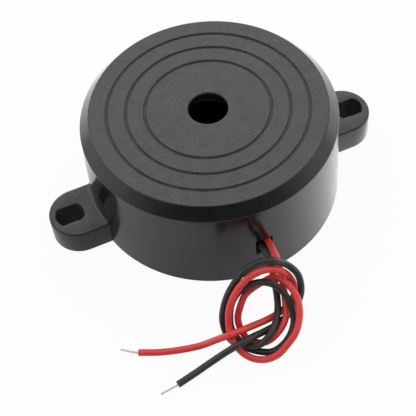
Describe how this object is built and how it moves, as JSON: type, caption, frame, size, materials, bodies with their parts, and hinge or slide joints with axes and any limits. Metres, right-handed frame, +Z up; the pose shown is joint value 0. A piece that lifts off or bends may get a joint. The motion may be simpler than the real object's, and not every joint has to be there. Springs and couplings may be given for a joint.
{
  "type": "piezo buzzer",
  "caption": "Round black piezo buzzer with a grooved top, a central sound hole, slotted mounting ears and a red and a black wire lead.",
  "frame": {"origin": "centre of the base, on the surface that the buzzer rests on", "axes": "+Z up through the sound hole, +X through the two ears, the lead window faces -Y"},
  "size_m": [0.0588, 0.0586, 0.0184],
  "materials": {
    "housing_plastic": "fine matte top, glossy sides",
    "cover_plastic": "matte",
    "brass_plate": "rolled sheet",
    "silvered_ceramic": "silver film on ceramic",
    "silicone": "smooth",
    "board_laminate": "paper laminate",
    "moulded_epoxy": "moulded",
    "tinned_wire": "tinned copper",
    "ferrite": "sintered",
    "enamelled_copper": "enamelled copper wire",
    "resistor_coat": "lacquered",
    "diode_glass": "glossy",
    "blue_insulation": "smooth",
    "red_insulation": "smooth soft plastic",
    "yellow_insulation": "smooth",
    "solder": "bright solder",
    "black_insulation": "smooth soft plastic"
  },
  "bodies": {
    "root": {"housing": "housing_plastic", "rear_cover": "cover_plastic", "diaphragm_plate": "brass_plate", "piezo_ceramic": "silvered_ceramic", "mounting_bead": "silicone", "circuit_board": "board_laminate", "transistor_body": "moulded_epoxy", "transistor_legs": "tinned_wire", "choke_core": "ferrite", "choke_winding": "enamelled_copper", "choke_pins": "tinned_wire", "bias_resistor": "resistor_coat", "bias_resistor_legs": "tinned_wire", "feedback_resistor": "resistor_coat", "feedback_resistor_legs": "tinned_wire", "diode_body": "diode_glass", "diode_legs": "tinned_wire", "plate_wire": "blue_insulation", "drive_wire": "red_insulation", "feedback_wire": "yellow_insulation", "board_solder": "solder", "element_solder": "solder", "red_lead": "red_insulation", "black_lead": "black_insulation", "red_conductor": "tinned_wire", "black_conductor": "tinned_wire"}
  },
  "joints": []
}
